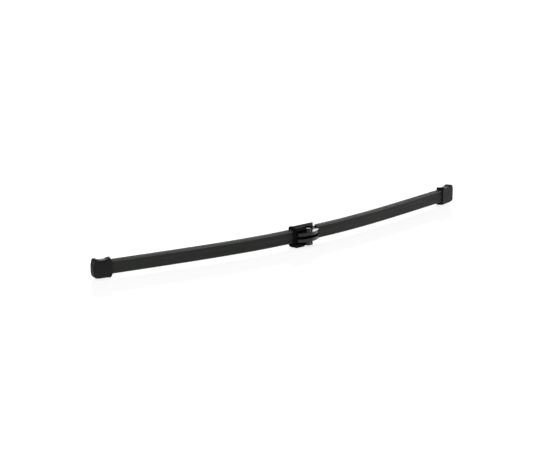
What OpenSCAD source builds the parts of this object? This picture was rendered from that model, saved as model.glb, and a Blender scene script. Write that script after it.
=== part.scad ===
// Flat wiper blade for a car, lying on its side.
// X runs along the blade, Z across its width, -Y is the side that faces the wiper arm and
// +Y the side that faces the glass. The origin is the middle of the pivot axis.
// Sections are drawn as [height towards the arm, across the width] from the rails' mid-plane.

/* [Blade] */
// Length along the curve, from cap to cap
blade_len = 400; // [300:5:520]
// How far the pivot sits left of the blade's middle
pivot_shift = 1; // [0:0.5:20]
// Angle by which each end turns towards the glass
end_angle = 10.2; // [5:0.1:14]
// How soon the bow fades out towards the ends
bow_fade = 3.05; // [1.5:0.05:4]
// Half length of the straight seat under the carrier
seat_half = 14; // [13.5:0.5:20]

/* [Rails] */
// Width of one spring-steel rail
rail_w = 4; // [3:0.1:4.6]
// Thickness of a rail
rail_t = 0.9; // [0.6:0.05:1.1]
// Gap between the two rails
rail_gap = 1.5; // [1.2:0.1:2]
// Depth of the notches that hold the end caps
notch_d = 0.6; // [0.3:0.1:1]
// Length of those notches
notch_len = 1.6; // [1:0.1:2]

/* [Cover] */
// Wall of the cover beside the rails
cover_wall = 1.05; // [0.7:0.05:1.3]
// Thickness of the lips that grip under the rails
lip_t = 0.75; // [0.5:0.05:0.9]
// How far the lips reach in under the rails
lip_grip = 1; // [0.5:0.1:1.3]
// Inward slope of each side, from lip to shoulder
side_lean = 0.5; // [0:0.05:0.8]
// Height of the shoulders
shoulder_v = 3.5; // [3.2:0.1:4]
// Height of the ridge
ridge_v = 4.3; // [3.9:0.1:5]
// Width of the blunt top of the ridge
ridge_w = 0.9; // [0.5:0.1:2]
// Hollow of the flanks between shoulder and ridge
flank_sag = 0.15; // [0:0.05:0.3]
// Thickness of the roof over the hollow core
roof_t = 1.2; // [1:0.1:1.4]

/* [Wiping rubber] */
// Width of the head above the rails
head_w = 5.2; // [4.4:0.1:5.4]
// Thickness of the head
head_t = 1; // [0.7:0.05:1.1]
// Width of the shoulder under the rails
root_w = 5.6; // [5:0.1:5.8]
// Thickness of that shoulder
root_t = 1; // [0.7:0.05:1.2]
// Thickness of the hinge neck
neck_w = 0.9; // [0.7:0.05:1.2]
// Length of the neck
neck_len = 0.9; // [0.6:0.05:1.5]
// Width of the wings at the lip's root
wing_w = 4.6; // [3.5:0.1:5]
// Thickness of the wings
wing_t = 0.6; // [0.4:0.05:0.9]
// Length of the lip below the wings
lip_len = 5; // [4:0.1:7]
// Thickness of the wiping edge
edge_w = 0.7; // [0.6:0.05:1]

/* [End caps] */
// Length of a cap
cap_len = 15.6; // [14:0.1:22]
// Wall of a cap at its mouth's sides
cap_wall = 1.8; // [1.2:0.05:2.2]
// How far the closed end flares out past the mouth at each side
cap_flare = 0.5; // [0:0.05:0.6]
// How far the waist between them is drawn in
cap_waist = 0.5; // [0:0.05:0.6]
// Thickness of the cap's floor under the cover
cap_floor = 0.7; // [0.5:0.05:1]
// Wall over the ridge
cap_crown = 1.1; // [0.9:0.05:1.6]
// How far the flat front is crowned
cap_dome = 0.25; // [0:0.05:0.4]
// Thickness of the closed end
cap_end = 1.5; // [1:0.1:2.5]
// Length of the pocket past the end of the cover
cap_pocket = 5; // [4:0.1:6]
// Radius of the cap's end corners
cap_round = 3; // [1.5:0.1:3.4]
// How far the closed end bulges
cap_bulge = 1; // [0.4:0.1:1.2]
// Radius of the edges on the glass side
cap_soft = 1.4; // [1:0.1:2.2]
// Radius of the edges on the arm side
cap_edge = 1.3; // [0.6:0.1:1.6]

/* [Rail bracket] */
// Thickness of the bracket's sheet steel
sheet_t = 0.9; // [0.6:0.05:1]
// How far its left end stops short of the flange's outer face
bracket_in = 1; // [0.2:0.1:2]
// Length of each claw
claw_len = 5; // [3:0.1:8]
// How far it stands out of the carrier's plain end
bracket_out = 0.3; // [0.3:0.1:2]

/* [Carrier] */
// Length of the carrier
carrier_len = 26.7; // [25:0.1:28]
// How far the carrier's middle sits right of the pivot
carrier_shift = 1.35; // [0:0.05:1.8]
// Thickness of the cheeks
cheek_t = 2.6; // [1.4:0.05:2.7]
// Width between the cheeks
trough_w = 11.8; // [11.6:0.1:12.4]
// Thickness of the carrier's lips under the rails
carrier_lip = 0.65; // [0.5:0.05:1]
// Thickness of the carrier's floor over the bracket
floor_t = 1.5; // [1.2:0.1:2]
// Height of the cheeks above that floor
cheek_rise = 4.4; // [2.5:0.1:4.6]
// How far the cheeks' right ends slope back from base to rim
cheek_slope = 8.9; // [2:0.1:9.5]
// Room for the wiper arm's hook round a trunnion
hook_room = 0.85; // [0.8:0.05:1]
// Thickness of the end flange
flange_t = 1.6; // [1.2:0.1:2.2]
// How far the flange stands out past the cheeks at each side
flange_out = 0.4; // [0.3:0.05:1.2]
// Height of the flange above the floor
flange_rise = 2.2; // [1.5:0.1:3]
// Radius of the flange's corners on the arm side
flange_round = 3; // [2:0.1:4]
// Radius of the carrier's edges on the glass side
carrier_soft = 2.5; // [0.9:0.1:2.5]

/* [Adapter] */
// Thickness of the adapter's foot plate
foot_t = 0.8; // [0.6:0.05:1]
// How far the foot reaches into the slot in each cheek
foot_grip = 0.6; // [0.3:0.05:0.8]
// Width over the two ribs
ribs_w = 8.2; // [7:0.1:9]
// Width of the slot between the ribs
slot_w = 2.5; // [1.5:0.1:4]
// Height of the pivot axis over the carrier's floor
pivot_rise = 5.2; // [5.1:0.05:6]
// Diameter of the trunnions
trunnion_d = 5; // [4:0.1:5.2]
// Width over the trunnions' ends
trunnion_span = 14.8; // [13:0.1:16]
// Height of the ribs' crown over the pivot axis
crown_rise = 2.7; // [2.6:0.05:3.5]
// Distance of the crown right of the pivot axis
crown_x = 1.5; // [0:0.1:3]
// Height of the ribs' crown over their left end
left_drop = 3.3; // [1:0.1:4]
// Height of the ribs' crown over the nose
nose_drop = 5.6; // [4:0.1:6]
// How far the nose stands out past the end of the carrier's floor
nose_out = 5; // [3.5:0.1:5.5]
// Length of solid nose past the slot's end
nose_len = 3; // [2:0.1:5]

/* [Fits] */
// Clearance of parts that slip over each other
fit = 0.1; // [0.05:0.01:0.2]
// Gap between the ends of parts that follow each other
end_gap = 0.2; // [0.1:0.05:0.5]
// Small edge rounding
edge_r = 0.45; // [0.3:0.05:0.6]

/* [Hidden] */
$fn = 48;

left_len = blade_len / 2 - pivot_shift;
right_len = blade_len / 2 + pivot_shift;
// Greatest distance between the rings of a swept section
ring_step = 11;
// Steps in which the bow is added up
bow_steps = 48;
// Surplus by which a cut runs past a face
past = 1;
// Angles between which a shoulder's corner is rounded
shoulder_from = 86;
shoulder_to = 18;

// Levels and half widths of the section
rail_top = rail_t / 2;
rail_in = rail_gap / 2;
rail_out = rail_in + rail_w;
side_z = rail_out + fit + cover_wall;
lip_z = rail_out - lip_grip;
lip_v = -rail_top - fit - lip_t;
head_v = rail_top + fit + head_t;

bridge_v = head_v + 2 * fit;
bridge_z = head_w / 2 + 2 * fit;
claw_v = -rail_top - fit - sheet_t;
bracket_z = rail_out + fit + sheet_t;
channel_v = bridge_v + sheet_t + fit;
carrier_v = claw_v - fit - carrier_lip;
floor_v = channel_v + floor_t;
cheek_v = floor_v + cheek_rise;
cheek_z = trough_w / 2 + cheek_t;
flange_v = floor_v + flange_rise;
flange_z = cheek_z + flange_out;
pivot_v = floor_v + pivot_rise;
foot_v = floor_v + foot_t;
crown_v = pivot_v + crown_rise;

flange_x = carrier_shift - carrier_len / 2;
carrier_x = carrier_shift + carrier_len / 2;
bracket_x = carrier_x + bracket_out;
bracket_left_x = flange_x + bracket_in;
rib_x = flange_x + flange_t + fit;
nose_x = slope_at(floor_v)[0] + nose_out;

cap_v = lip_v - fit - cap_floor;
cap_z = side_z + fit + cap_wall;
cap_end_z = cap_z + cap_flare;
cap_front_v = ridge_v + fit + cap_crown - cap_dome;
// Distances from the blade's tip
cover_from_tip = cap_end + cap_pocket;
rail_from_tip = cap_end + end_gap;
rubber_from_tip = cap_end + 2 * end_gap;
notch_from_tip = cap_end + cap_pocket / 2;

// The bow: s is the length along the rails from the pivot, negative to the left.
// The seat is straight, and past it the curvature fades towards each tip.

function bow_heading(s) = let(
        len = s < 0 ? left_len : right_len,
        share = max(0, (abs(s) - seat_half) / (len - seat_half))
    ) sign(s) * end_angle * (1 - pow(1 - share, bow_fade));
function bow_point(s) = let(ds = s / bow_steps)
    [for (i = [1 : bow_steps]) ds]
        * [for (i = [1 : bow_steps]) let(h = bow_heading((i - 0.5) * ds)) [cos(h), sin(h)]];
// A section point, [height, across], on the ring at s
function on_ring(s, p) = let(h = bow_heading(s), at = bow_point(s))
    [at[0] + p[0] * sin(h), at[1] - p[0] * cos(h), p[1]];

// Turns a section upright and extrudes it along X from x = a to x = b
module straight(a, b)
    translate([a, 0, 0]) rotate([90, 0, 90]) linear_extrude(b - a) mirror([1, 0]) children();

// Sweeps a section's outline along the bow, from s = a to s = b
module swept(outline, a, b) {
    steps = ceil((b - a) / ring_step);
    n = len(outline);
    rings = [for (k = [0 : steps]) a + (b - a) * k / steps];
    polyhedron(
        points = [for (s = rings) for (p = outline) on_ring(s, p)],
        faces = concat(
            [[for (j = [0 : n - 1]) j]],
            [for (k = [0 : steps - 1]) for (j = [0 : n - 1]) let(m = (j + 1) % n)
                for (f = [[j, j + n, m], [m, j + n, m + n]]) [for (i = f) k * n + i]],
            [[for (j = [n - 1 : -1 : 0]) steps * n + j]]
        )
    );
}

// Puts children, modelled about the origin with X along the blade, at s
module placed(s) {
    at = bow_point(s);
    translate([at[0], at[1], 0]) rotate([0, 0, bow_heading(s)]) children();
}

// Moves the rails' mid-plane down from the pivot axis, which is the origin
module from_pivot()
    translate([0, pivot_v, 0]) children();

// Section helpers

// Closes a half outline, given on the +Z side, by its mirror image
function both_sides(half) =
    concat(half, [for (i = [len(half) - 1 : -1 : 0]) [half[i][0], -half[i][1]]]);
// Points of a rounded corner about a centre, from angle a to angle b
function corner(v, z, r, a, b, n = 4) = [for (i = [0 : n]) let(t = a + (b - a) * i / n)
    [v + r * cos(t), z + r * sin(t)]];
// Points between two outline points, bowed out by sag (or in, where it is negative)
function flank(v0, z0, v1, z1, sag, n = 5) = [for (i = [1 : n - 1]) let(t = i / n)
    [v0 + (v1 - v0) * t + 4 * sag * t * (1 - t), z0 + (z1 - z0) * t]];

// Rectangle that spans both sides, from level a to level b
module band(a, b, half_w)
    translate([a, -half_w]) square([b - a, 2 * half_w]);

// One side of the cover's outer face, from lip to ridge, grown by a clearance
function cover_face(grow = 0) = concat(
    corner(lip_v - grow + edge_r, side_z + grow - edge_r, edge_r, 180, 90),
    corner(
        shoulder_v + grow - edge_r, side_z + grow - side_lean - edge_r, edge_r,
        shoulder_from, shoulder_to
    ),
    flank(shoulder_v + grow, side_z + grow - side_lean - edge_r, ridge_v + grow, ridge_w / 2, -flank_sag),
    [[ridge_v + grow, ridge_w / 2]]
);
// The space that the cover fills, with its hollow core and the rails
function cover_hull(grow) = both_sides(concat([[lip_v - grow, 0]], cover_face(grow)));
// The cover itself: lips, grooves for the rails' outer edges and a core open to the rubber's head
function cover_outline() = let(core_z = rail_out - lip_grip / 2) both_sides(concat(
    [
        [ridge_v - roof_t, ridge_w / 2],
        [shoulder_v - roof_t, core_z],
        [rail_top + fit, core_z],
        [rail_top + fit, rail_out + fit],
        [-rail_top - fit, rail_out + fit],
        [-rail_top - fit, lip_z],
        [lip_v, lip_z]
    ],
    cover_face()
));

function rail_outline() = [
    [-rail_top, rail_in], [-rail_top, rail_out], [rail_top, rail_out], [rail_top, rail_in]
];

function rubber_outline() = let(
        root_v = -rail_top - fit - root_t,
        wing_v = root_v - neck_len,
        web_z = rail_in - fit
    ) both_sides([
        [wing_v - wing_t - lip_len, edge_w / 2],
        [wing_v - 2 * wing_t, wing_w / 4],
        [wing_v - wing_t, wing_w / 2],
        [wing_v - wing_t / 3, wing_w / 2],
        [wing_v, wing_w / 2 - wing_t / 3],
        [wing_v, neck_w / 2],
        [root_v, neck_w / 2],
        [root_v, root_w / 2 - edge_r],
        [root_v + edge_r, root_w / 2],
        [-rail_top - fit, root_w / 2],
        [-rail_top - fit, web_z],
        [rail_top + fit, web_z],
        [rail_top + fit, head_w / 2],
        [head_v - edge_r, head_w / 2],
        [head_v, head_w / 2 - edge_r]
    ]);

// Wiping rubber: one extrusion, with a groove at each side for a rail

module wiping_rubber()
    color([0.08, 0.08, 0.085]) from_pivot()
        swept(rubber_outline(), rubber_from_tip - left_len, right_len - rubber_from_tip);

// Spring rails, with a notch near each end for the caps' nibs

module rail_notch(s)
    placed(s)
        translate([-notch_len / 2, -rail_t, rail_out - notch_d])
            cube([notch_len, 2 * rail_t, notch_d + past]);

module rail()
    difference() {
        swept(rail_outline(), rail_from_tip - left_len, right_len - rail_from_tip);
        rail_notch(right_len - notch_from_tip);
        rail_notch(notch_from_tip - left_len);
    }

module rail_upper()
    color([0.55, 0.56, 0.58]) from_pivot() rail();

module rail_lower()
    color([0.55, 0.56, 0.58]) from_pivot() mirror([0, 0, 1]) rail();

// Cover strips, one on each side of the carrier

module cover_left()
    color([0.17, 0.17, 0.17]) from_pivot()
        swept(cover_outline(), cover_from_tip - left_len, flange_x - end_gap);

module cover_right()
    color([0.17, 0.17, 0.17]) from_pivot()
        swept(cover_outline(), bracket_x + end_gap, right_len - cover_from_tip);

// End caps: hollow mouldings, open at the mouth and along the glass side for the lip

module cap_section()
    polygon(both_sides(concat(
        [[cap_v, 0]],
        corner(cap_v + cap_soft, cap_end_z - cap_soft, cap_soft, 180, 90, 6),
        corner(cap_front_v - cap_edge, cap_end_z - side_lean - cap_edge, cap_edge, shoulder_from, 4, 5),
        flank(cap_front_v, cap_end_z - side_lean - cap_edge, cap_front_v + cap_dome, 0, cap_dome / 4),
        [[cap_front_v + cap_dome, 0]]
    )));

// Plan of a cap as [along, across]: mouth, waist, flare and bulging end
module cap_plan()
    polygon(both_sides(concat(
        [[-past, 0], [-past, cap_z], [0, cap_z]],
        [for (p = flank(cap_z, 0, cap_end_z, cap_len - cap_bulge - cap_round, -cap_waist, 8)) [p[1], p[0]]],
        corner(cap_len - cap_bulge - cap_round, cap_end_z - cap_round, cap_round, 90, 15, 7),
        flank(cap_len - cap_bulge, cap_end_z - cap_round, cap_len, 0, cap_bulge / 4, 6),
        [[cap_len, 0]]
    )));

// Side view that rounds the closed end and leaves the rest whole, between two levels
module rounded_end(low, high, r)
    polygon(concat(
        [[-past, low - past], [-past, high + past], [cap_len - r, high + past]],
        corner(cap_len - r, high - r, r, 90, 0, 6),
        corner(cap_len - r, low + r, r, 0, -90, 6),
        [[cap_len - r, low - past]]
    ));

module cap_nib(side)
    translate([
        cap_len - notch_from_tip - notch_len / 2 + fit,
        -rail_top,
        side * (rail_out + 2 * fit) - (side > 0 ? notch_d + fit : 0)
    ])
        cube([notch_len - 2 * fit, rail_t, notch_d + fit]);

// A cap for the tip on the given side: -1 left, 1 right
module end_cap(tip_s, side)
    placed(tip_s - side * cap_len) mirror([side < 0 ? 1 : 0, 0, 0]) {
        difference() {
            intersection() {
                straight(0, cap_len) cap_section();
                linear_extrude(4 * cap_z, center = true)
                    mirror([0, 1]) rounded_end(cap_v, cap_front_v + cap_dome, cap_round / 2);
                rotate([90, 0, 0]) linear_extrude(4 * cap_z, center = true) cap_plan();
            }
            straight(-past, cap_len - cover_from_tip + end_gap) polygon(cover_hull(fit));
            straight(-past, cap_len - cap_end) {
                band(-rail_top - fit, head_v + fit, rail_out + fit);
                band(cap_v - past, 0, lip_z);
            }
        }
        for (rail = [-1, 1]) cap_nib(rail);
    }

module end_cap_left()
    color([0.13, 0.13, 0.13]) from_pivot() end_cap(-left_len, -1);

module end_cap_right()
    color([0.13, 0.13, 0.13]) from_pivot() end_cap(right_len, 1);

// Rail bracket: sheet steel bridged over the rubber's head, four claws crimped round the rails

module bracket_section() {
    difference() {
        band(rail_top, bridge_v + sheet_t, bridge_z + sheet_t);
        band(rail_top - past, bridge_v, bridge_z);
    }
    difference() {
        band(claw_v, rail_top + sheet_t, bracket_z);
        band(-rail_top - fit, rail_top, rail_out + fit);
        band(claw_v - past, rail_top, lip_z);
        band(-past, rail_top + sheet_t + past, bridge_z);
    }
}

module rail_bracket()
    color([0.6, 0.61, 0.63]) from_pivot()
        difference() {
            straight(bracket_left_x, bracket_x) bracket_section();
            straight(bracket_left_x + claw_len, bracket_x - claw_len)
                for (side = [-1, 1])
                    translate([claw_v - past, side * bracket_z - sheet_t - rail_w / 2])
                        square([rail_top - claw_v + past, rail_w + 2 * sheet_t]);
        }

// Carrier: clipped over the bracket, with a flange at its left end and a cheek at each side

module carrier_section()
    difference() {
        polygon(both_sides(concat(
            [[carrier_v, 0]],
            corner(carrier_v + carrier_soft, cheek_z - carrier_soft, carrier_soft, 180, 90, 6),
            corner(cheek_v - edge_r, cheek_z - edge_r, edge_r, 90, 0),
            corner(cheek_v - edge_r, trough_w / 2 + edge_r, edge_r, 0, -90),
            [[floor_v, trough_w / 2], [floor_v, 0]]
        )));
        channel();
    }

module channel() {
    band(claw_v - fit, channel_v, bracket_z + fit);
    band(carrier_v - past, 0, lip_z);
}

module flange_section()
    difference() {
        polygon(both_sides(concat(
            [[carrier_v, 0]],
            corner(carrier_v + carrier_soft, flange_z - carrier_soft, carrier_soft, 180, 90, 6),
            corner(flange_v - flange_round, flange_z - flange_round, flange_round, 90, 0, 8)
        )));
        channel();
    }

// The carrier's sloping right end, in side view, at a height v
function slope_at(v) = [carrier_x - cheek_slope * (v - carrier_v) / (cheek_v - carrier_v), v];

module carrier()
    color([0.12, 0.12, 0.12]) from_pivot()
        difference() {
            union() {
                straight(flange_x, carrier_x) carrier_section();
                straight(flange_x, flange_x + flange_t) flange_section();
            }
            straight(flange_x + flange_t, carrier_x + past)
                band(floor_v, foot_v + fit, trough_w / 2 + foot_grip + fit);
            side_plate(-flange_z - past, flange_z + past) {
                polygon([
                    slope_at(carrier_v - past),
                    slope_at(cheek_v + past),
                    [carrier_x + 2 * past, cheek_v + past],
                    [carrier_x + 2 * past, carrier_v - past]
                ]);
                translate([0, pivot_v]) circle(trunnion_d / 2 + hook_room);
            }
        }

// Adapter: slides in between the cheeks; its trunnions carry the wiper arm's hooks

// Side view of the ribs as [x, height]: two arcs that meet at the crown
function rib_arc(x_end, drop) = let(span = x_end - crown_x, r = (span * span + drop * drop) / (2 * drop))
    [for (i = [0 : 8]) let(x = span * i / 8) [crown_x + x, crown_v - r + sqrt(r * r - x * x)]];

function rib_outline() = let(left = rib_arc(rib_x, left_drop), right = rib_arc(nose_x, nose_drop))
    concat(
        [for (i = [8 : -1 : 0]) left[i]],
        [for (i = [1 : 8]) right[i]],
        [[nose_x, foot_v], [nose_x - foot_t, floor_v], [rib_x, floor_v]]
    );

// Extrudes a side view, [x, height], across the blade from z = a to z = b
module side_plate(a, b)
    translate([0, 0, a]) linear_extrude(b - a) mirror([0, 1]) children();

module trunnion(side)
    mirror([0, 0, side < 0 ? 1 : 0]) translate([0, -pivot_v, 0]) {
        cylinder(h = trunnion_span / 2 - edge_r, d = trunnion_d);
        translate([0, 0, trunnion_span / 2 - edge_r])
            cylinder(h = edge_r, d1 = trunnion_d, d2 = trunnion_d - 2 * edge_r);
    }

module adapter()
    color([0.1, 0.1, 0.1]) from_pivot()
        difference() {
            union() {
                side_plate(-ribs_w / 2, ribs_w / 2) polygon(rib_outline());
                straight(rib_x, slope_at(foot_v + fit)[0]) band(floor_v, foot_v, trough_w / 2 + foot_grip);
                for (side = [-1, 1]) trunnion(side);
            }
            side_plate(-slot_w / 2, slot_w / 2)
                translate([rib_x - past, foot_v])
                    square([nose_x - nose_len - rib_x + past, crown_v - foot_v + past]);
        }

wiping_rubber();
rail_upper();
rail_lower();
cover_left();
cover_right();
end_cap_left();
end_cap_right();
rail_bracket();
carrier();
adapter();
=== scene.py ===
import math

import bmesh
import bpy
from bpy.props import FloatProperty, FloatVectorProperty, PointerProperty
from mathutils import Matrix, Vector


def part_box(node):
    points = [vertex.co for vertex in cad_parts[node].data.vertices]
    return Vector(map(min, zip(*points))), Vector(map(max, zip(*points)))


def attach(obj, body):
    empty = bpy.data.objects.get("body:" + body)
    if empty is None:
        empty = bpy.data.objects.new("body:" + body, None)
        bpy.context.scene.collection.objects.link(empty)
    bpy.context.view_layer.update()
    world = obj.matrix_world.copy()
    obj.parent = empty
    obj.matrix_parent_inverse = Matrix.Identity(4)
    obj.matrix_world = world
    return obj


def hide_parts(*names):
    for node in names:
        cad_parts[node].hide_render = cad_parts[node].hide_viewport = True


bl_info = {
    "name": "Flat Wiper Blade",
    "version": (1, 0, 0),
    "blender": (4, 5, 0),
    "location": "View3D > Sidebar > Wiper Blade",
    "description": "Dresses a flat wiper blade and sets up the stage it lies on",
    "category": "Object",
}

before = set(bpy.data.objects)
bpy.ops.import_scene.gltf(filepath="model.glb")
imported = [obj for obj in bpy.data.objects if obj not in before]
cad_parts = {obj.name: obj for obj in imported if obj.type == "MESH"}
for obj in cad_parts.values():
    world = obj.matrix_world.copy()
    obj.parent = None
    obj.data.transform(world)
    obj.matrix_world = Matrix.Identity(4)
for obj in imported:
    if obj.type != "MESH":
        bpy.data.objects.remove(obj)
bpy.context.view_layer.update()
MM = 0.001

# How the extrusions are divided: length of one step, and cuts across a hollow flank
PULL_STEP = 6 * MM
FLANK_CUTS = 9
# Extrusions and mouldings stay sharp in the shading where faces meet at more degrees than these
EXTRUSION_SHARP = 40
MOULDING_SHARP = 50
# How a CAD node is cleaned and rounded: the distance that merges points, the degrees up to which
# faces are one flat face, the degrees over which an edge is rounded, and the steps of a rounding
MERGED = 0.002 * MM
FLAT_ANGLE = 0.5
ROUNDED_ANGLE = 60
ROUND_STEPS = 3

# Where a cap's walls are divided: shares of its length from the tip, shares of its height from
# the rails to the arm side, and millimetres across
CAP_CUTS_ALONG = (
    0.03, 0.07, 0.12, 0.17, 0.23, 0.3, 0.37, 0.45, 0.55,
    0.65, 0.72, 0.77, 0.82, 0.87, 0.91, 0.95, 0.98,
)
CAP_CUTS_UP = (-0.2, 0.1, 0.4, 0.6, 0.75, 0.9)
CAP_CUTS_ACROSS = (-6.6, -5.2, 5.2, 6.6)
CUT_SNAP = 0.001 * MM
# Where a cap's forms start and are complete: shares of its length from the tip
WAIST_FROM_END = (0.1, 0.4)
WAIST_FROM_MOUTH = (0.95, 0.75)
RIM_RISE = (0.72, 0.94)
HORN_RISE = (0.0, 0.12)
HORN_FALL = (0.42, 0.12)
BLUNT_FALL = (0.4, 0.0)
MOUTH_RISE = (0.7, 1.0)
# And across it: shares of its half width
SIDE_WALL = (0.55, 0.85)
MOUTH_CORNER = (0.6, 1.05)

# The part of a noise that is spread over a whole range of colour or roughness
NOISE_SPAN = {"From Min": 0.3, "From Max": 0.7}

WHITE = (1.0, 1.0, 1.0, 1.0)
# Area lamps: name, place, size in metres and power in watts
AREA_LAMPS = (
    ("key", (0.9, -0.7, 1.1), 1.2, 8.0),
    ("top", (-0.4, -0.3, 1.5), 1.6, 19.0),
)
# Soft lamps in mirrored surfaces: direction, strength, and degrees off it to full and to no light
MIRRORED_LAMPS = (
    ((0.61, 0.75, 0.26), 4.0, 9, 17),
    ((0.61, -0.25, 0.75), 2.5, 10, 22),
    ((0.93, -0.3, 0.2), 2.2, 10, 28),
)
# The mirrored wall behind the blade: where it starts and is at its palest, and both its levels
WALL_SPAN = {"From Min": 0.2, "From Max": 0.6, "To Min": 0.07, "To Max": 0.22}
ROOM_LEVEL = 0.5
FLOOR_WHITE_SHARE = 0.8
FLOOR_HALF = 30.0
STEEPEST_FLOOR = 0.2
SLOPE_HALVINGS = 40


def linear(code):
    """Turns an sRGB hex colour into the linear colour that shaders use."""
    def channel(value):
        return value / 12.92 if value <= 0.04045 else ((value + 0.055) / 1.055) ** 2.4
    return tuple(channel(int(code[i:i + 2], 16) / 255) for i in (1, 3, 5))


def rgba(colour):
    """A linear colour with full opacity."""
    return (*colour, 1.0)


def length_property(name, description, mm):
    """A length in the interface, given in millimetres."""
    return FloatProperty(
        name=name, description=description, default=mm * MM, min=0.0, precision=5,
        subtype="DISTANCE"
    )


def colour_property(name, description, code):
    """A colour in the interface, given as an sRGB hex value."""
    return FloatVectorProperty(
        name=name, description=description, default=linear(code), size=3, min=0.0, max=1.0,
        subtype="COLOR"
    )


class BladeSizes(bpy.types.PropertyGroup):
    """Sizes of the blade's extrusions, its end caps and the edges of its mouldings."""

    blade_len: length_property("Blade length", "Length along the curve, from cap to cap", 400)
    pivot_shift: length_property("Pivot shift", "How far the pivot sits left of the middle", 1)
    end_angle: FloatProperty(
        name="End angle", description="Angle by which each end turns towards the glass",
        default=math.radians(10.2), subtype="ANGLE"
    )
    bow_fade: FloatProperty(
        name="Bow fade", description="How soon the bow fades out", default=3.05
    )
    seat_half: length_property("Seat", "Half length of the straight seat under the carrier", 14)
    pivot_v: length_property("Pivot height", "Height of the pivot axis over the rails", 9.45)
    cover_gap: length_property("Cover's end gap", "From the tip to the end of a cover strip", 6.5)
    side_z: length_property("Cover half width", "Half the width of the cover at its lips", 5.9)
    lip_v: length_property("Lip depth", "Depth of the cover's lips under the rails", 1.3)
    side_lean: length_property("Side lean", "Inward slope of each side of the cover", 0.5)
    shoulder_v: length_property("Shoulder height", "Height of the cover's shoulders", 3.5)
    ridge_v: length_property("Ridge height", "Height of the cover's ridge", 4.3)
    ridge_w: length_property("Ridge width", "Width of the ridge's blunt top", 0.9)
    flank_sag: length_property(
        "Flank hollow", "Hollow of the flanks between shoulder and ridge", 0.15
    )
    roof_t: length_property("Roof", "Thickness of the cover over its hollow core", 1.2)
    core_z: length_property("Core half width", "Half the width of the cover's hollow core", 4.25)
    groove_v: length_property(
        "Groove half height", "Half the height of the groove round a rail", 0.55
    )
    groove_z: length_property(
        "Groove reach", "From the middle to the bottom of a rail's groove", 4.85
    )
    lip_z: length_property("Lip reach", "From the middle to the inner edge of a cover's lip", 3.75)
    lip_round: length_property("Lip rounding", "Radius of the cover's lower edges", 0.35)
    shoulder_round: length_property("Shoulder rounding", "Radius of the cover's shoulders", 0.5)
    ridge_round: length_property("Ridge rounding", "Radius of the ridge's edges", 0.3)
    head_z: length_property("Head half width", "Half the width of the rubber's head", 2.6)
    root_z: length_property("Root half width", "Half the width of the rubber's shoulder", 2.8)
    web_z: length_property("Web half width", "Half the width of the rubber between the rails", 0.65)
    neck_z: length_property("Neck half width", "Half the width of the hinge neck", 0.45)
    wing_z: length_property("Wing half width", "Half the width of the wings", 2.3)
    edge_z: length_property("Edge half width", "Half the width of the wiping edge", 0.35)
    head_v: length_property(
        "Head height", "Height of the rubber's head over the rails' mid-plane", 1.55
    )
    neck_len: length_property("Neck length", "Length of the hinge neck", 0.9)
    wing_t: length_property("Wing thickness", "Thickness of the wings", 0.6)
    wing_lean: length_property("Wing lean", "How much narrower the wings are on top", 0.1)
    wiper_len: length_property("Lip length", "Length of the wiping lip below the wings", 5)
    wing_round: length_property("Wing rounding", "Radius of the wings' edges", 0.2)
    root_round: length_property("Root rounding", "Radius of the rubber's shoulder", 0.3)
    head_round: length_property("Head rounding", "Radius of the head's upper edges", 0.4)
    rubber_gap: length_property(
        "Rubber's end gap", "From the tip to the end of the wiping rubber", 4.4
    )
    edge_bevel: length_property("Edge rounding", "Rounding of the mouldings' sharp edges", 0.22)
    sheet_bevel: length_property("Sheet rounding", "Rounding of the bracket's sharp edges", 0.12)
    cap_draw: length_property(
        "Cap waist", "How much each side of a cap is drawn in between its ends", 0.1
    )
    cap_rim: length_property("Cap rim", "How far the rim of a cap's mouth stands out", 0.75)
    cap_horn: length_property(
        "Cap horn", "How far a cap's upper side stands out near its closed end", 1.1
    )
    cap_blunt: length_property(
        "Cap blunt end", "How much the lower corner of the closed end is cut", 0.9
    )
    cap_taper: length_property(
        "Cap taper", "How much narrower a side of the cap is at the glass side", 0.65
    )
    cap_corner: length_property(
        "Cap corner", "How far the mouth's arm-side corners are drawn back", 1.6
    )
    cap_reach: length_property(
        "Cap reach", "How far the mouth's rim reaches out over the cover", 0.7
    )


class BladeFinish(bpy.types.PropertyGroup):
    """Colours of the blade's materials."""

    cover: colour_property("Cover", "Extruded elastomer of the cover strips", "#2b2d2b")
    cap: colour_property("Caps", "Satin polypropylene of the end caps", "#0d0e0d")
    carrier: colour_property("Carrier", "Grained polyamide of the matte moulding", "#131413")
    adapter: colour_property("Adapter", "Acetal of the semi-gloss moulding", "#101112")
    rubber: colour_property("Wiping rubber", "Graphited natural rubber", "#1c1c1e")
    # Painted highlight: the pale colour of the lines along the cover's shoulders
    shoulder_highlight: colour_property("Shoulder highlight", "Painted highlight along the cover's shoulders", "#63645f")
    rail: colour_property("Rails", "Bare spring steel", "#8c8d8f")
    bracket: colour_property("Bracket", "Zinc-plated sheet steel", "#b4b6b8")
    dust: colour_property("Dust", "Settled on the faces that look up", "#6b6158")


class StageSettings(bpy.types.PropertyGroup):
    """Camera and floor."""

    camera_place: FloatVectorProperty(
        name="Camera", description="Place of the camera", default=(-0.9717, -1.1469, 0.4149),
        subtype="XYZ"
    )
    camera_aim: FloatVectorProperty(
        name="Aim", description="Point that the camera looks at",
        default=(-0.0208, 0.0256, 0.0016), subtype="XYZ"
    )
    lens: FloatProperty(name="Lens", description="Focal length in millimetres", default=122.9)
    sensor: FloatProperty(name="Sensor", description="Sensor width in millimetres", default=36.0)
    floor: colour_property("Floor", "Colour of the floor", "#f6f6f6")


def sizes():
    return bpy.context.scene.wiper_blade_sizes


def finish():
    return bpy.context.scene.wiper_blade_finish


def stage_settings():
    return bpy.context.scene.wiper_blade_stage


# Node materials

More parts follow.
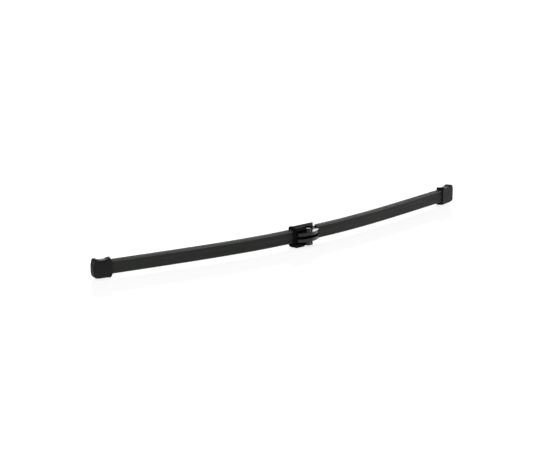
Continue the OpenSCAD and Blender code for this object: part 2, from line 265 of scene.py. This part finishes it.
def fill(tree, node, inputs):
    """Sets a node's inputs, or links them to another node's output."""
    for name, value in inputs.items():
        if isinstance(value, bpy.types.NodeSocket):
            tree.links.new(value, node.inputs[name])
        else:
            node.inputs[name].default_value = value


def add(tree, kind, inputs=None, **settings):
    """Adds a node, sets its settings and fills or links its inputs."""
    node = tree.nodes.new(kind)
    for name, value in settings.items():
        setattr(node, name, value)
    fill(tree, node, inputs or {})
    return node


def new_material(name, uniform):
    """A material with a Principled shader whose uniform values sit on its own sockets."""
    material = bpy.data.materials.new(name)
    material.use_nodes = True
    tree = material.node_tree
    shader = tree.nodes["Principled BSDF"]
    fill(tree, shader, uniform)
    return material, tree, shader


def grain(size_mm, drawn_out=1.0):
    """Scale of a pattern whose grains measure size_mm, drawn out along the blade."""
    return (1 / (size_mm * MM * drawn_out), 1 / (size_mm * MM), 1 / (size_mm * MM))


def shaded(colour, share):
    """The colour made lighter or darker by a share."""
    return rgba(tuple(share * channel for channel in colour))


def extruded_elastomer():
    """Black elastomer pulled through a die: satin, lined lengthwise, with painted shoulder
    highlights.
    """
    material, tree, shader = new_material(
        "extruded_elastomer", {"IOR": 1.5, "Specular IOR Level": 0.12}
    )
    z = sizes()
    place = add(tree, "ShaderNodeAttribute", attribute_name="straight")
    # Die lines are about 0.05 mm apart; they are drawn 0.7 mm apart so that they show
    fine = add(tree, "ShaderNodeMapping", {
        "Vector": place.outputs["Vector"], "Scale": grain(0.7, 200)
    })
    lines = add(tree, "ShaderNodeTexNoise", {
        "Vector": fine.outputs["Vector"], "Scale": 1.0, "Detail": 2.0
    })
    large = add(tree, "ShaderNodeMapping", {
        "Vector": place.outputs["Vector"], "Scale": grain(2.6, 12)
    })
    cloud = add(tree, "ShaderNodeTexNoise", {
        "Vector": large.outputs["Vector"], "Scale": 1.0, "Detail": 3.0
    })
    streaks = add(tree, "ShaderNodeMapRange", {
        "Value": lines.outputs["Fac"], **NOISE_SPAN, "To Min": 0.0, "To Max": 1.0
    })
    colour = add(tree, "ShaderNodeMix", {
        0: streaks.outputs["Result"], 6: shaded(finish().cover, 0.65),
        7: shaded(finish().cover, 1.15)
    }, data_type="RGBA")
    # Painted highlight: lines about 0.7 mm wide are painted pale, 0.5 mm in from the shoulders
    across = add(tree, "ShaderNodeSeparateXYZ", {0: place.outputs["Vector"]})
    side = add(tree, "ShaderNodeMath", {0: across.outputs["Z"]}, operation="ABSOLUTE")
    highlight_z = z.side_z - z.side_lean - 0.5 * MM
    off_shoulder = add(tree, "ShaderNodeMath", {
        0: side.outputs[0], 1: highlight_z
    }, operation="SUBTRACT")
    near_shoulder = add(tree, "ShaderNodeMath", {
        0: off_shoulder.outputs[0]
    }, operation="ABSOLUTE")
    shoulder = add(tree, "ShaderNodeMapRange", {
        "Value": near_shoulder.outputs[0], "From Min": 0.15 * MM, "From Max": 0.55 * MM,
        "To Min": 0.6, "To Max": 0.0
    })
    uneven = add(tree, "ShaderNodeMapRange", {
        "Value": cloud.outputs["Fac"], **NOISE_SPAN, "To Min": 0.6, "To Max": 1.0
    })
    highlight_mask = add(tree, "ShaderNodeMath", {
        0: shoulder.outputs["Result"], 1: uneven.outputs["Result"]
    }, operation="MULTIPLY")
    # The painted highlight is mixed into the cover's colour here
    highlighted = add(tree, "ShaderNodeMix", {
        0: highlight_mask.outputs[0], 6: colour.outputs[2], 7: rgba(finish().shoulder_highlight)
    }, data_type="RGBA")
    satin = add(tree, "ShaderNodeMapRange", {
        "Value": cloud.outputs["Fac"], **NOISE_SPAN, "To Min": 0.5, "To Max": 0.64
    })
    relief = add(tree, "ShaderNodeBump", {
        "Height": lines.outputs["Fac"], "Distance": 0.03 * MM, "Strength": 0.7
    })
    fill(tree, shader, {
        "Base Color": highlighted.outputs[2], "Roughness": satin.outputs["Result"],
        "Normal": relief.outputs["Normal"]
    })
    return material


def grained_polyamide():
    """Black polyamide from a spark-eroded mould: matte, evenly grained, dusty where it looks up."""
    material, tree, shader = new_material(
        "grained_polyamide", {"IOR": 1.53, "Specular IOR Level": 0.05}
    )
    place = add(tree, "ShaderNodeTexCoord")
    fine = add(tree, "ShaderNodeMapping", {
        "Vector": place.outputs["Object"], "Scale": grain(0.22)
    })
    pits = add(tree, "ShaderNodeTexNoise", {
        "Vector": fine.outputs["Vector"], "Scale": 1.0, "Detail": 2.0
    })
    large = add(tree, "ShaderNodeMapping", {
        "Vector": place.outputs["Object"], "Scale": grain(4.0)
    })
    cloud = add(tree, "ShaderNodeTexNoise", {
        "Vector": large.outputs["Vector"], "Scale": 1.0, "Detail": 4.0
    })
    colour = add(tree, "ShaderNodeMix", {
        0: cloud.outputs["Fac"], 6: shaded(finish().carrier, 0.75),
        7: shaded(finish().carrier, 1.15)
    }, data_type="RGBA")
    looks = add(tree, "ShaderNodeNewGeometry")
    up = add(tree, "ShaderNodeSeparateXYZ", {0: looks.outputs["Normal"]})
    facing = add(tree, "ShaderNodeMapRange", {
        "Value": up.outputs["Z"], "From Min": 0.5, "From Max": 1.0, "To Min": 0.0, "To Max": 0.04
    })
    settled = add(tree, "ShaderNodeMath", {
        0: facing.outputs["Result"], 1: cloud.outputs["Fac"]
    }, operation="MULTIPLY")
    dusty = add(tree, "ShaderNodeMix", {
        0: settled.outputs[0], 6: colour.outputs[2], 7: rgba(finish().dust)
    }, data_type="RGBA")
    matte = add(tree, "ShaderNodeMapRange", {
        "Value": pits.outputs["Fac"], **NOISE_SPAN, "To Min": 0.72, "To Max": 0.88
    })
    relief = add(tree, "ShaderNodeBump", {
        "Height": pits.outputs["Fac"], "Distance": 0.02 * MM, "Strength": 0.8
    })
    fill(tree, shader, {
        "Base Color": dusty.outputs[2], "Roughness": matte.outputs["Result"],
        "Normal": relief.outputs["Normal"]
    })
    return material


def satin_polypropylene():
    """Black polypropylene from a blasted mould: an even satin sheen with faint clouds."""
    material, tree, shader = new_material(
        "satin_polypropylene", {"IOR": 1.49, "Specular IOR Level": 0.3}
    )
    place = add(tree, "ShaderNodeTexCoord")
    # Blasting leaves marks of about 0.1 mm; they are drawn at 0.4 mm so that they show
    fine = add(tree, "ShaderNodeMapping", {
        "Vector": place.outputs["Object"], "Scale": grain(0.4)
    })
    marks = add(tree, "ShaderNodeTexNoise", {
        "Vector": fine.outputs["Vector"], "Scale": 1.0, "Detail": 2.0
    })
    large = add(tree, "ShaderNodeMapping", {
        "Vector": place.outputs["Object"], "Scale": grain(5.0)
    })
    cloud = add(tree, "ShaderNodeTexNoise", {
        "Vector": large.outputs["Vector"], "Scale": 1.0, "Detail": 3.0
    })
    colour = add(tree, "ShaderNodeMix", {
        0: cloud.outputs["Fac"], 6: shaded(finish().cap, 0.8), 7: shaded(finish().cap, 1.2)
    }, data_type="RGBA")
    satin = add(tree, "ShaderNodeMapRange", {
        "Value": marks.outputs["Fac"], **NOISE_SPAN, "To Min": 0.5, "To Max": 0.62
    })
    relief = add(tree, "ShaderNodeBump", {
        "Height": marks.outputs["Fac"], "Distance": 0.015 * MM, "Strength": 0.6
    })
    fill(tree, shader, {
        "Base Color": colour.outputs[2], "Roughness": satin.outputs["Result"],
        "Normal": relief.outputs["Normal"]
    })
    return material


def moulded_acetal():
    """Black acetal from a polished mould: semi-gloss, with faint flow marks."""
    material, tree, shader = new_material("moulded_acetal", {"IOR": 1.48})
    place = add(tree, "ShaderNodeTexCoord")
    drawn = add(tree, "ShaderNodeMapping", {
        "Vector": place.outputs["Object"], "Scale": grain(3.0, 4)
    })
    flow = add(tree, "ShaderNodeTexNoise", {
        "Vector": drawn.outputs["Vector"], "Scale": 1.0, "Detail": 3.0
    })
    colour = add(tree, "ShaderNodeMix", {
        0: flow.outputs["Fac"], 6: shaded(finish().adapter, 0.9), 7: shaded(finish().adapter, 1.3)
    }, data_type="RGBA")
    gloss = add(tree, "ShaderNodeMapRange", {
        "Value": flow.outputs["Fac"], **NOISE_SPAN, "To Min": 0.18, "To Max": 0.28
    })
    relief = add(tree, "ShaderNodeBump", {
        "Height": flow.outputs["Fac"], "Distance": 0.02 * MM, "Strength": 0.25
    })
    fill(tree, shader, {
        "Base Color": colour.outputs[2], "Roughness": gloss.outputs["Result"],
        "Normal": relief.outputs["Normal"]
    })
    return material


def graphited_rubber():
    """Natural rubber with a graphite coat: dull, deep black, with cut marks across the lip."""
    material, tree, shader = new_material("graphited_rubber", {"IOR": 1.52})
    place = add(tree, "ShaderNodeAttribute", attribute_name="straight")
    drawn = add(tree, "ShaderNodeMapping", {
        "Vector": place.outputs["Vector"], "Scale": grain(0.5, 60)
    })
    marks = add(tree, "ShaderNodeTexNoise", {
        "Vector": drawn.outputs["Vector"], "Scale": 1.0, "Detail": 2.0
    })
    fine = add(tree, "ShaderNodeMapping", {
        "Vector": place.outputs["Vector"], "Scale": grain(0.3)
    })
    powder = add(tree, "ShaderNodeTexNoise", {
        "Vector": fine.outputs["Vector"], "Scale": 1.0, "Detail": 3.0
    })
    colour = add(tree, "ShaderNodeMix", {
        0: powder.outputs["Fac"], 6: shaded(finish().rubber, 0.9), 7: shaded(finish().rubber, 1.5)
    }, data_type="RGBA")
    dull = add(tree, "ShaderNodeMapRange", {
        "Value": powder.outputs["Fac"], **NOISE_SPAN, "To Min": 0.55, "To Max": 0.75
    })
    relief = add(tree, "ShaderNodeBump", {
        "Height": marks.outputs["Fac"], "Distance": 0.03 * MM, "Strength": 0.6
    })
    fill(tree, shader, {
        "Base Color": colour.outputs[2], "Roughness": dull.outputs["Result"],
        "Normal": relief.outputs["Normal"]
    })
    return material


def rolled_spring_steel():
    """Cold-rolled spring steel: grey, lined along its length by the rolls."""
    material, tree, shader = new_material("rolled_spring_steel", {"Metallic": 1.0})
    place = add(tree, "ShaderNodeTexCoord")
    drawn = add(tree, "ShaderNodeMapping", {
        "Vector": place.outputs["Object"], "Scale": grain(0.25, 120)
    })
    lines = add(tree, "ShaderNodeTexNoise", {
        "Vector": drawn.outputs["Vector"], "Scale": 1.0, "Detail": 2.0
    })
    colour = add(tree, "ShaderNodeMix", {
        0: lines.outputs["Fac"], 6: shaded(finish().rail, 0.7), 7: rgba(finish().rail)
    }, data_type="RGBA")
    sheen = add(tree, "ShaderNodeMapRange", {
        "Value": lines.outputs["Fac"], **NOISE_SPAN, "To Min": 0.28, "To Max": 0.42
    })
    relief = add(tree, "ShaderNodeBump", {
        "Height": lines.outputs["Fac"], "Distance": 0.01 * MM, "Strength": 0.5
    })
    fill(tree, shader, {
        "Base Color": colour.outputs[2], "Roughness": sheen.outputs["Result"],
        "Normal": relief.outputs["Normal"]
    })
    return material


def zinc_plated_steel():
    """Zinc-plated sheet steel: bright grey with cloudy passivation."""
    material, tree, shader = new_material("zinc_plated_steel", {"Metallic": 1.0})
    place = add(tree, "ShaderNodeTexCoord")
    large = add(tree, "ShaderNodeMapping", {
        "Vector": place.outputs["Object"], "Scale": grain(2.0)
    })
    cloud = add(tree, "ShaderNodeTexNoise", {
        "Vector": large.outputs["Vector"], "Scale": 1.0, "Detail": 4.0
    })
    colour = add(tree, "ShaderNodeMix", {
        0: cloud.outputs["Fac"], 6: shaded(finish().bracket, 0.75), 7: rgba(finish().bracket)
    }, data_type="RGBA")
    sheen = add(tree, "ShaderNodeMapRange", {
        "Value": cloud.outputs["Fac"], **NOISE_SPAN, "To Min": 0.25, "To Max": 0.42
    })
    relief = add(tree, "ShaderNodeBump", {
        "Height": cloud.outputs["Fac"], "Distance": 0.02 * MM, "Strength": 0.3
    })
    fill(tree, shader, {
        "Base Color": colour.outputs[2], "Roughness": sheen.outputs["Result"],
        "Normal": relief.outputs["Normal"]
    })
    return material


# The bow that all long sections follow

def heading(s):
    """Angle of the blade at s, the length along the rails from the pivot."""
    z = sizes()
    reach = z.blade_len / 2 + math.copysign(z.pivot_shift, s)
    share = max(0.0, (abs(s) - z.seat_half) / (reach - z.seat_half))
    return math.copysign(z.end_angle * (1 - (1 - min(share, 1.0)) ** z.bow_fade), s)


def bow_point(s, steps=48):
    """Place of the rails' mid-plane at s, in X and Y."""
    step = s / steps
    turns = [heading((i + 0.5) * step) for i in range(steps)]
    return (
        step * sum(math.cos(t) for t in turns),
        step * sum(math.sin(t) for t in turns) + sizes().pivot_v,
    )


def bend(bm):
    """Moves a mesh from its straight place, [s, height, across], onto the bow.

    The straight place is kept as an attribute, which the patterns of the extrusions follow.
    """
    straight = bm.verts.layers.float_vector.new("straight")
    rings = {}
    for vert in bm.verts:
        s, v, z = vert.co
        vert[straight] = vert.co
        key = round(s, 7)
        if key not in rings:
            rings[key] = (bow_point(s), heading(s))
        (x, y), turn = rings[key]
        vert.co = (x + v * math.sin(turn), y - v * math.cos(turn), z)
    bm.normal_update()


# Mesh helpers

def shade(bm, sharp_angle):
    """Smooth faces, with sharp edges where two faces meet at more than an angle."""
    limit = math.radians(sharp_angle)
    for face in bm.faces:
        face.smooth = True
    for edge in bm.edges:
        edge.smooth = len(edge.link_faces) == 2 and edge.calc_face_angle(0.0) < limit


def new_object(name, data):
    """An object in the scene."""
    made = bpy.data.objects.new(name, data)
    bpy.context.scene.collection.objects.link(made)
    return made


def mesh_object(name, bm, material):
    """An object in the scene that takes the mesh over."""
    mesh = bpy.data.meshes.new(name)
    bm.to_mesh(mesh)
    bm.free()
    mesh.materials.append(material)
    return new_object(name, mesh)


def place_piece(name, bm, material, node):
    """Makes a piece of the mesh, which rides on the blade and stands for its CAD node."""
    piece = mesh_object(name, bm, material)
    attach(piece, "root")
    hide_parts(node)
    return piece


def section(half):
    """A face of [height, across] points on the +Z side and their mirror image.

    A point that also has a radius and a number of segments gets a rounded corner.
    """
    bm = bmesh.new()
    points = [(v, z) for v, z, *_ in half] + [(v, -z) for v, z, *_ in reversed(half)]
    verts = [bm.verts.new((0.0, v, z)) for v, z in points]
    bm.faces.new(verts)
    for index, (_, _, *rounding) in enumerate(half):
        if rounding:
            radius, segments = rounding
            bmesh.ops.bevel(
                bm, geom=[verts[index], verts[-1 - index]], offset=radius, offset_type="OFFSET",
                segments=segments, profile=0.5, affect="VERTICES", material=-1
            )
    return bm


def hollow_flanks(bm, start, end, sag):
    """Divides the section's edge that runs from start to end, on both sides, and hollows it."""
    slack = 0.02
    for side in (1, -1):
        low = Vector((0.0, start[0], side * start[1]))
        high = Vector((0.0, end[0], side * end[1]))
        run = high - low
        edges = [
            e for e in bm.edges
            if all(
                (v.co - low).cross(run).length / run.length < slack * MM
                and -slack < (v.co - low).dot(run) / run.length_squared < 1 + slack
                for v in e.verts
            )
        ]
        longest = max(edges, key=lambda e: e.calc_length())
        ends = [v.co.copy() for v in longest.verts]
        made = bmesh.ops.subdivide_edges(bm, edges=[longest], cuts=FLANK_CUTS)
        for vert in made["geom_inner"]:
            if isinstance(vert, bmesh.types.BMVert):
                t = (vert.co - ends[0]).length / (ends[1] - ends[0]).length
                vert.co.y -= 4 * sag * t * (1 - t)


def pull(bm, start, end):
    """Extrudes the section from s = start to s = end and divides it into even lengths."""
    bmesh.ops.translate(bm, verts=bm.verts, vec=(start, 0, 0))
    made = bmesh.ops.extrude_face_region(bm, geom=bm.faces[:], use_keep_orig=True)
    moved = [g for g in made["geom"] if isinstance(g, bmesh.types.BMVert)]
    bmesh.ops.translate(bm, verts=moved, vec=(end - start, 0, 0))
    length = end - start
    lengthwise = [e for e in bm.edges if abs(e.verts[0].co.x - e.verts[1].co.x) > length / 2]
    bmesh.ops.subdivide_edges(
        bm, edges=lengthwise, cuts=round(length / PULL_STEP) - 1, use_grid_fill=True
    )
    bmesh.ops.recalc_face_normals(bm, faces=bm.faces)


def dressed_copy(node, bevel):
    """A merged copy of a CAD node whose sharp edges are rounded."""
    bm = bmesh.new()
    bm.from_mesh(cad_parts[node].data)
    bmesh.ops.remove_doubles(bm, verts=bm.verts, dist=MERGED)
    flat = math.radians(FLAT_ANGLE)
    bmesh.ops.dissolve_limit(
        bm, angle_limit=flat, verts=bm.verts, edges=bm.edges, delimit=set()
    )
    bmesh.ops.dissolve_degenerate(bm, dist=MERGED, edges=bm.edges)
    limit = math.radians(ROUNDED_ANGLE)
    sharp = [e for e in bm.edges if len(e.link_faces) == 2 and e.calc_face_angle(0.0) > limit]
    bmesh.ops.bevel(
        bm, geom=sharp, offset=bevel, offset_type="OFFSET", segments=ROUND_STEPS,
        profile=0.5, affect="EDGES", clamp_overlap=True, material=-1
    )
    return bm


def smooth(start, end, value):
    """0 up to start, 1 from end on, and a soft ramp between. An end below start turns it round."""
    t = min(max((value - start) / (end - start), 0.0), 1.0)
    return t * t * (3 - 2 * t)


def shape_cap(bm, side):
    """Divides the walls of the cap at one side of the blade and forms its sides and its mouth."""
    z = sizes()
    tip = side * z.blade_len / 2 + z.pivot_shift
    turn = heading(tip)
    inward = Vector((-side * math.cos(turn), -side * math.sin(turn), 0))
    arm = Vector((math.sin(turn), -math.cos(turn), 0))
    origin = Vector((*bow_point(tip), 0))
    length = max((v.co - origin).dot(inward) for v in bm.verts)
    front = max((v.co - origin).dot(arm) for v in bm.verts)
    cuts = [(origin + inward * (share * length), inward) for share in CAP_CUTS_ALONG]
    cuts += [(origin + arm * (share * front), arm) for share in CAP_CUTS_UP]
    cuts += [(Vector((0, 0, mm * MM)), Vector((0, 0, 1))) for mm in CAP_CUTS_ACROSS]
    for place, normal in cuts:
        bmesh.ops.bisect_plane(
            bm, geom=bm.verts[:] + bm.edges[:] + bm.faces[:], dist=CUT_SNAP,
            plane_co=place, plane_no=normal
        )
    half = max(v.co.z for v in bm.verts)
    low = min((v.co - origin).dot(arm) for v in bm.verts)
    for vert in bm.verts:
        place = vert.co - origin
        from_tip = place.dot(inward) / length
        armward = (place.dot(arm) - low) / (front - low)
        outward = abs(vert.co.z) / half
        waist = smooth(*WAIST_FROM_END, from_tip) * smooth(*WAIST_FROM_MOUTH, from_tip)
        rim = smooth(*RIM_RISE, from_tip)
        grown = -z.cap_draw * waist - z.cap_taper * (1 - armward)
        if vert.co.z > 0:
            horn = smooth(*HORN_RISE, from_tip) * smooth(*HORN_FALL, from_tip)
            grown += z.cap_rim * rim + z.cap_horn * horn
        else:
            # The lower side's rim is twice as high, but only towards the glass
            grown += 2 * z.cap_rim * rim * (1 - armward)
            grown -= z.cap_blunt * smooth(*BLUNT_FALL, from_tip) * armward
        vert.co.z += math.copysign(1, vert.co.z) * smooth(*SIDE_WALL, outward) * grown
        corner = smooth(*MOUTH_CORNER, abs(vert.co.z) / half) * armward ** 2
        mouth = smooth(*MOUTH_RISE, from_tip)
        vert.co += inward * mouth * (z.cap_reach - z.cap_corner * corner)
    bm.normal_update()


def place_moulding(name, bm, material, node):
    """Places a moulding whose flat faces stay flat next to their rounded edges."""
    shade(bm, MOULDING_SHARP)
    piece = place_piece(name, bm, material, node)
    modifier = piece.modifiers.new("Flat faces", "WEIGHTED_NORMAL")
    modifier.keep_sharp = True


def aimed(place, target):
    """Transform of a camera or a lamp at a place that points at a target."""
    turn = (Vector(target) - Vector(place)).to_track_quat("-Z", "Y").to_matrix().to_4x4()
    return Matrix.Translation(place) @ turn


# Operators

class BuildCovers(bpy.types.Operator):
    """Two extruded cover strips, one on each side of the carrier"""

    bl_idname = "wiper_blade.covers"
    bl_label = "Cover strips"

    def execute(self, context):
        z = sizes()
        material = extruded_elastomer()
        far_left = -z.blade_len / 2 + z.pivot_shift + z.cover_gap
        far_right = z.blade_len / 2 + z.pivot_shift - z.cover_gap
        shoulder = (z.shoulder_v, z.side_z - z.side_lean)
        ridge = (z.ridge_v, z.ridge_w / 2)
        for node, start, end in (
            ("cover_left", far_left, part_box("cover_left")[1].x),
            ("cover_right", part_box("cover_right")[0].x, far_right),
        ):
            bm = section([
                (z.ridge_v - z.roof_t, z.ridge_w / 2),
                (z.shoulder_v - z.roof_t, z.core_z),
                (z.groove_v, z.core_z),
                (z.groove_v, z.groove_z),
                (-z.groove_v, z.groove_z),
                (-z.groove_v, z.lip_z),
                (-z.lip_v, z.lip_z),
                (-z.lip_v, z.side_z, z.lip_round, 4),
                (*shoulder, z.shoulder_round, 5),
                (*ridge, z.ridge_round, 3),
            ])
            hollow_flanks(bm, shoulder, ridge, z.flank_sag)
            pull(bm, start, end)
            bend(bm)
            shade(bm, EXTRUSION_SHARP)
            place_piece(f"{node}_strip", bm, material, node)
        return {"FINISHED"}


class BuildCaps(bpy.types.Operator):
    """The two moulded end caps"""

    bl_idname = "wiper_blade.caps"
    bl_label = "End caps"

    def execute(self, context):
        material = satin_polypropylene()
        for node, side in (("end_cap_left", -1), ("end_cap_right", 1)):
            bm = dressed_copy(node, sizes().edge_bevel)
            shape_cap(bm, side)
            place_moulding(f"{node}_moulding", bm, material, node)
        return {"FINISHED"}


class BuildConnector(bpy.types.Operator):
    """The carrier, the adapter in it and the steel bracket under it"""

    bl_idname = "wiper_blade.connector"
    bl_label = "Connector"

    def execute(self, context):
        z = sizes()
        for node, material, slot, bevel in (
            ("carrier", grained_polyamide(), "cap_plastic", z.edge_bevel),
            ("adapter", moulded_acetal(), "adapter_plastic", z.edge_bevel),
            ("rail_bracket", zinc_plated_steel(), "bracket_steel", z.sheet_bevel),
        ):
            place_moulding(f"{node}_body", dressed_copy(node, bevel), material, node)
        return {"FINISHED"}


class BuildRubber(bpy.types.Operator):
    """The extruded wiping rubber"""

    bl_idname = "wiper_blade.rubber"
    bl_label = "Wiping rubber"

    def execute(self, context):
        z = sizes()
        root = -z.head_v
        wing = root - z.neck_len
        bm = section([
            (wing - z.wing_t - z.wiper_len, z.edge_z),
            (wing - 2 * z.wing_t, z.wing_z / 2),
            (wing - z.wing_t, z.wing_z, z.wing_round, 3),
            (wing, z.wing_z - z.wing_lean, z.wing_round, 3),
            (wing, z.neck_z),
            (root, z.neck_z),
            (root, z.root_z, z.root_round, 3),
            (-z.groove_v, z.root_z),
            (-z.groove_v, z.web_z),
            (z.groove_v, z.web_z),
            (z.groove_v, z.head_z),
            (z.head_v, z.head_z, z.head_round, 3),
        ])
        reach = z.blade_len / 2 - z.rubber_gap
        pull(bm, z.pivot_shift - reach, z.pivot_shift + reach)
        bend(bm)
        shade(bm, EXTRUSION_SHARP)
        place_piece("wiping_rubber_strip", bm, graphited_rubber(), "wiping_rubber")
        return {"FINISHED"}


class DressRails(bpy.types.Operator):
    """Steel on the two spring rails"""

    bl_idname = "wiper_blade.rails"
    bl_label = "Spring rails"

    def execute(self, context):
        material = rolled_spring_steel()
        for node in ("rail_upper", "rail_lower"):
            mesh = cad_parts[node].data
            mesh.materials.clear()
            mesh.materials.append(material)
        return {"FINISHED"}


class BuildStage(bpy.types.Operator):
    """Floor, lights, world and camera"""

    bl_idname = "wiper_blade.stage"
    bl_label = "Stage"

    def execute(self, context):
        self.floor()
        self.world(context.scene)
        self.lamps()
        self.camera(context.scene)
        context.scene.view_settings.view_transform = "Standard"
        return {"FINISHED"}

    def floor(self):
        """A glossy white floor, tilted so that it touches the carrier's flange and both caps."""
        def lowest(node, slope):
            return min(v.co.z - slope * v.co.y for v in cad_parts[node].data.vertices)
        low, high = 0.0, STEEPEST_FLOOR
        for _ in range(SLOPE_HALVINGS):
            slope = (low + high) / 2
            caps = min(lowest("end_cap_left", slope), lowest("end_cap_right", slope))
            if lowest("carrier", slope) < caps:
                low = slope
            else:
                high = slope
        height = lowest("carrier", slope)
        material, tree, shader = new_material("floor_white", {
            "Base Color": rgba(stage_settings().floor), "Roughness": 0.1, "IOR": 2.0
        })
        rays = add(tree, "ShaderNodeLightPath")
        seen = add(tree, "ShaderNodeMath", {
            0: rays.outputs["Is Camera Ray"], 1: FLOOR_WHITE_SHARE
        }, operation="MULTIPLY")
        white = add(tree, "ShaderNodeEmission", {"Color": WHITE, "Strength": 1.0})
        mix = add(tree, "ShaderNodeMixShader", {
            0: seen.outputs[0], 1: shader.outputs[0], 2: white.outputs[0]
        })
        fill(tree, tree.nodes["Material Output"], {"Surface": mix.outputs[0]})
        bm = bmesh.new()
        bmesh.ops.create_grid(bm, x_segments=2, y_segments=2, size=FLOOR_HALF)
        for vert in bm.verts:
            vert.co.z = height + slope * vert.co.y
        mesh_object("floor", bm, material)

    def world(self, scene):
        """White to the camera, plain soft light on the blade, and a studio in what it mirrors."""
        world = bpy.data.worlds.new("studio")
        scene.world = world
        world.use_nodes = True
        tree = world.node_tree
        tree.nodes.clear()
        rays = add(tree, "ShaderNodeLightPath")
        toward = add(tree, "ShaderNodeTexCoord")
        # The mirrored studio is dim, with a paler wall behind the blade and soft lamps in it
        wall = add(tree, "ShaderNodeSeparateXYZ", {0: toward.outputs["Generated"]})
        lit = add(tree, "ShaderNodeMapRange", {"Value": wall.outputs["Y"], **WALL_SPAN})
        total = lit.outputs["Result"]
        for direction, strength, inner, outer in MIRRORED_LAMPS:
            facing = add(tree, "ShaderNodeVectorMath", {
                0: toward.outputs["Generated"], 1: Vector(direction).normalized()
            }, operation="DOT_PRODUCT")
            lamp = add(tree, "ShaderNodeMapRange", {
                "Value": facing.outputs["Value"], "To Max": strength,
                "From Min": math.cos(math.radians(outer)), "From Max": math.cos(math.radians(inner))
            }, interpolation_type="SMOOTHSTEP")
            both = add(tree, "ShaderNodeMath", {
                0: total, 1: lamp.outputs["Result"]
            }, operation="ADD")
            total = both.outputs[0]
        soft = add(tree, "ShaderNodeBackground", {"Color": WHITE, "Strength": ROOM_LEVEL})
        studio = add(tree, "ShaderNodeBackground", {"Color": WHITE, "Strength": total})
        white = add(tree, "ShaderNodeBackground", {"Color": WHITE, "Strength": 1.0})
        glossy = add(tree, "ShaderNodeMixShader", {
            0: rays.outputs["Is Glossy Ray"], 1: soft.outputs[0], 2: studio.outputs[0]
        })
        seen = add(tree, "ShaderNodeMath", {
            0: rays.outputs["Is Camera Ray"], 1: rays.outputs["Is Transmission Ray"]
        }, operation="MAXIMUM")
        mix = add(tree, "ShaderNodeMixShader", {
            0: seen.outputs[0], 1: glossy.outputs[0], 2: white.outputs[0]
        })
        add(tree, "ShaderNodeOutputWorld", {"Surface": mix.outputs[0]})

    def lamps(self):
        """Two soft area lamps that point at the pivot."""
        for name, place, size, power in AREA_LAMPS:
            data = bpy.data.lights.new(name, "AREA")
            data.shape = "SQUARE"
            data.size = size
            data.energy = power
            lamp = new_object(name, data)
            # What the mouldings mirror is drawn by the world, so the lamps don't show in them
            lamp.visible_glossy = False
            lamp.matrix_world = aimed(place, (0.0, 0.0, 0.0))

    def camera(self, scene):
        """The camera at the photograph's viewing angle."""
        settings = stage_settings()
        data = bpy.data.cameras.new("camera")
        data.lens = settings.lens
        data.sensor_width = settings.sensor
        data.clip_start = 0.01
        data.dof.use_dof = False
        camera = new_object("camera", data)
        camera.matrix_world = aimed(settings.camera_place, settings.camera_aim)
        scene.camera = camera


class WiperPanel(bpy.types.Panel):
    """Lists the pieces and their sizes"""

    bl_idname = "VIEW3D_PT_wiper_blade"
    bl_label = "Wiper Blade"
    bl_space_type = "VIEW_3D"
    bl_region_type = "UI"
    bl_category = "Wiper Blade"

    def draw(self, context):
        layout = self.layout
        for operator in OPERATORS:
            layout.operator(operator.bl_idname)
        for group in (sizes(), finish(), stage_settings()):
            box = layout.box()
            for name in group.bl_rna.properties.keys():
                if name not in ("rna_type", "name"):
                    box.prop(group, name)


GROUPS = (
    ("wiper_blade_sizes", BladeSizes),
    ("wiper_blade_finish", BladeFinish),
    ("wiper_blade_stage", StageSettings),
)
OPERATORS = (BuildCovers, BuildCaps, BuildConnector, BuildRubber, DressRails, BuildStage)


def register():
    for _, group in GROUPS:
        bpy.utils.register_class(group)
    for operator in OPERATORS:
        bpy.utils.register_class(operator)
    bpy.utils.register_class(WiperPanel)
    for name, group in GROUPS:
        setattr(bpy.types.Scene, name, PointerProperty(type=group))


def unregister():
    for name, _ in GROUPS:
        delattr(bpy.types.Scene, name)
    bpy.utils.unregister_class(WiperPanel)
    for operator in reversed(OPERATORS):
        bpy.utils.unregister_class(operator)
    for _, group in reversed(GROUPS):
        bpy.utils.unregister_class(group)


def main():
    register()
    bpy.ops.wiper_blade.covers()
    bpy.ops.wiper_blade.caps()
    bpy.ops.wiper_blade.connector()
    bpy.ops.wiper_blade.rubber()
    bpy.ops.wiper_blade.rails()
    bpy.ops.wiper_blade.stage()


if __name__ == "__main__":
    main()
